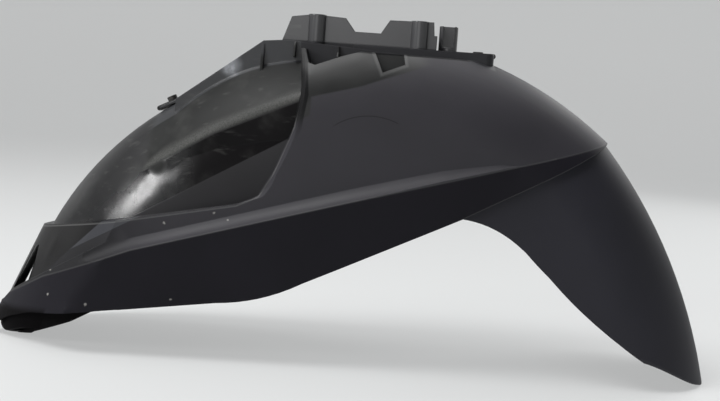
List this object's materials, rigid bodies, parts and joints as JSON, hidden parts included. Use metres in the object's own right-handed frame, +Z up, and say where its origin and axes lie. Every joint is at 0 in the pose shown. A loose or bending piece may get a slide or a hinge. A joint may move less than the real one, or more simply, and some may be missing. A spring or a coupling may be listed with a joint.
{
  "type": "scooter mudguard",
  "caption": "One-piece moulded scooter mudguard: arched wheel tunnel with flared side wings, a stepped tail leaf and a top mounting tower.",
  "frame": {"origin": "middle of the footprint, on the floor the nose chin and the tail tip stand on", "axes": "+X along the length towards the tail, +Y across, +Z up through the mounting tower"},
  "size_m": [0.6548, 0.186, 0.308],
  "materials": {
    "moulded_plastic": "fine grained black moulding with polished zones",
    "clip_steel": "black phosphated spring steel"
  },
  "bodies": {
    "root": {"guard_shell": "moulded_plastic", "front_clip_nut": "clip_steel", "rear_clip_nut": "clip_steel"}
  },
  "joints": []
}
